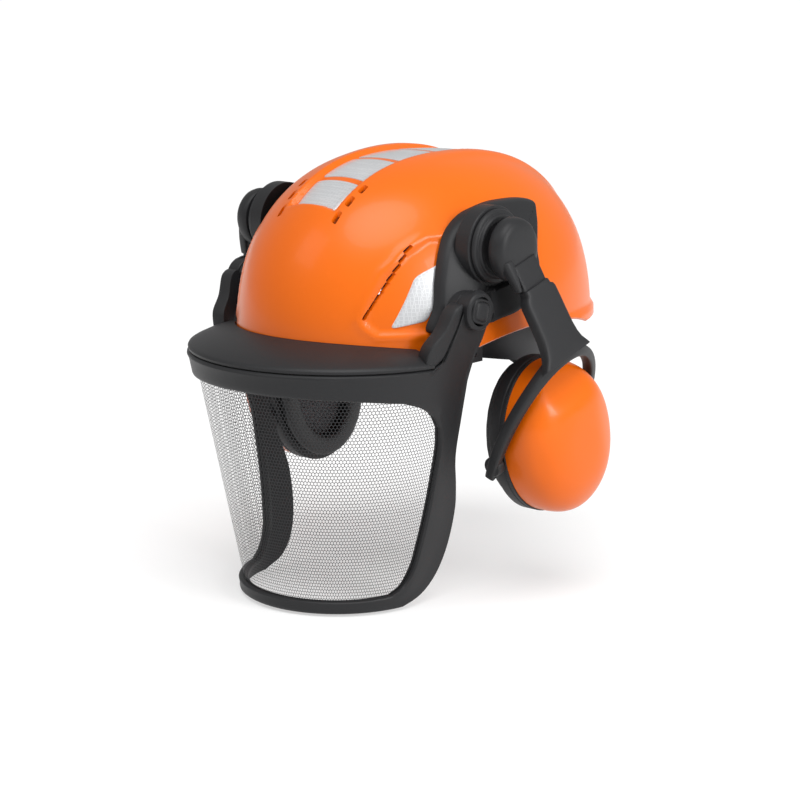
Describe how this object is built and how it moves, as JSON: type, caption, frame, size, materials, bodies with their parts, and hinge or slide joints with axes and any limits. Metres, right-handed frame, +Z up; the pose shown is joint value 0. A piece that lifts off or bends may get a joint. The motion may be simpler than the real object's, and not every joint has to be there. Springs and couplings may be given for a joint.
{
  "type": "hard hat",
  "caption": "Forestry hard hat with a vented shell, head harness, swing-up mesh visor and ear muffs on folding, sliding arms.",
  "frame": {"origin": "centre of the head opening, on the plane of the shell rim", "axes": "+Z up through the crown, -Y the way the wearer faces, +X the wearer's left"},
  "size_m": [0.29, 0.3218, 0.2905],
  "materials": {
    "shell_plastic": "glossy moulded orange",
    "black_plastic": "satin, finely textured",
    "harness_plastic": "smooth flexible nylon",
    "reflective_film": "retroreflective silver film",
    "screen_steel": "black etched steel",
    "steel": "plain bright",
    "webbing": "woven polyester",
    "comfort_foam": "knitted cover over foam",
    "acoustic_foam": "open cell foam",
    "cushion_skin": "soft vinyl"
  },
  "bodies": {
    "root": {"shell": "shell_plastic", "crown_reflectors": "reflective_film", "side_reflectors": "reflective_film", "adapter_left": "black_plastic", "adapter_right": "black_plastic", "pivot_pin_left": "steel", "pivot_pin_right": "steel", "headband": "harness_plastic", "sweatband": "comfort_foam", "nape_cradle": "harness_plastic", "nape_pad": "comfort_foam", "crown_strap_lower": "webbing", "crown_strap_upper": "webbing", "crown_pad": "comfort_foam", "harness_clips": "harness_plastic", "chin_anchors": "harness_plastic", "ratchet_housing": "black_plastic", "ratchet_cover": "black_plastic"},
    "adjuster": {"pinion": "harness_plastic", "ratchet_knob": "black_plastic", "ratchet_screw": "steel"},
    "rack_left": {"rack_left": "harness_plastic"},
    "rack_right": {"rack_right": "harness_plastic"},
    "visor": {"visor_frame": "black_plastic", "visor_screen": "screen_steel", "visor_clamp": "black_plastic", "brow_guard": "black_plastic", "button_spring_left": "steel", "button_spring_right": "steel"},
    "turret_left": {"turret_left": "black_plastic"},
    "arm_left": {"arm_left": "black_plastic", "knuckle_pin_left": "steel", "torsion_spring_left": "steel"},
    "yoke_left": {"yoke_left": "black_plastic", "fork_pins_left": "steel"},
    "cup_left": {"cup_base_left": "black_plastic", "cup_cover_left": "shell_plastic", "foam_insert_left": "acoustic_foam", "cushion_left": "cushion_skin"},
    "button_left": {"visor_button_left": "black_plastic"},
    "turret_right": {"turret_right": "black_plastic"},
    "arm_right": {"arm_right": "black_plastic", "knuckle_pin_right": "steel", "torsion_spring_right": "steel"},
    "yoke_right": {"yoke_right": "black_plastic", "fork_pins_right": "steel"},
    "cup_right": {"cup_base_right": "black_plastic", "cup_cover_right": "shell_plastic", "foam_insert_right": "acoustic_foam", "cushion_right": "cushion_skin"},
    "button_right": {"visor_button_right": "black_plastic"}
  },
  "joints": [
    {"name": "visor_swing", "type": "hinge", "parent": "root", "child": "visor", "pos_m": [0, -0.064, 0.024], "axis": [-1, 0, 0], "range_deg": [0, 70]},
    {"name": "button_press_left", "type": "slide", "parent": "visor", "child": "button_left", "axis": [-1, 0, 0], "range_m": [0, 0.002], "stiffness_N_per_m": 900},
    {"name": "turret_turn_left", "type": "hinge", "parent": "root", "child": "turret_left", "pos_m": [0, -0.038, 0.062], "axis": [1, 0, 0], "range_deg": [-6, 7]},
    {"name": "arm_fold_left", "type": "hinge", "parent": "turret_left", "child": "arm_left", "pos_m": [0.111, -0.038, 0.062], "axis": [0, -0.9537, -0.3007], "range_deg": [-2, 14]},
    {"name": "arm_length_left", "type": "slide", "parent": "arm_left", "child": "yoke_left", "axis": [0.309, 0.286, -0.907], "range_m": [0, 0.018]},
    {"name": "cup_tilt_left", "type": "hinge", "parent": "yoke_left", "child": "cup_left", "pos_m": [0.105, 0.0026, -0.06675], "axis": [0, 0.9537, 0.3007], "range_deg": [-5, 5]},
    {"name": "button_press_right", "type": "slide", "parent": "visor", "child": "button_right", "axis": [1, 0, 0], "range_m": [0, 0.002], "stiffness_N_per_m": 900},
    {"name": "turret_turn_right", "type": "hinge", "parent": "root", "child": "turret_right", "pos_m": [0, -0.038, 0.062], "axis": [-1, 0, 0], "range_deg": [-7, 6]},
    {"name": "arm_fold_right", "type": "hinge", "parent": "turret_right", "child": "arm_right", "pos_m": [-0.111, -0.038, 0.062], "axis": [0, 0.9537, 0.3007], "range_deg": [-2, 14]},
    {"name": "arm_length_right", "type": "slide", "parent": "arm_right", "child": "yoke_right", "axis": [-0.309, 0.286, -0.907], "range_m": [0, 0.018]},
    {"name": "cup_tilt_right", "type": "hinge", "parent": "yoke_right", "child": "cup_right", "pos_m": [-0.105, 0.0026, -0.06675], "axis": [0, 0.9537, 0.3007], "range_deg": [-5, 5]},
    {"name": "knob_turn", "type": "hinge", "parent": "root", "child": "adjuster", "pos_m": [0, 0.108, -0.033], "axis": [0, 1, 0], "range_deg": [-95, 95]},
    {"name": "rack_slide_left", "type": "slide", "parent": "root", "child": "rack_left", "axis": [1, 0, 0], "range_m": [-0.0101, 0.0101]},
    {"name": "rack_slide_right", "type": "slide", "parent": "root", "child": "rack_right", "axis": [-1, 0, 0], "range_m": [-0.0101, 0.0101]}
  ],
  "couplings": [
    {"joint": "rack_slide_left", "follows": "knob_turn", "m_per_rad": 0.006},
    {"joint": "rack_slide_right", "follows": "knob_turn", "m_per_rad": 0.006}
  ]
}
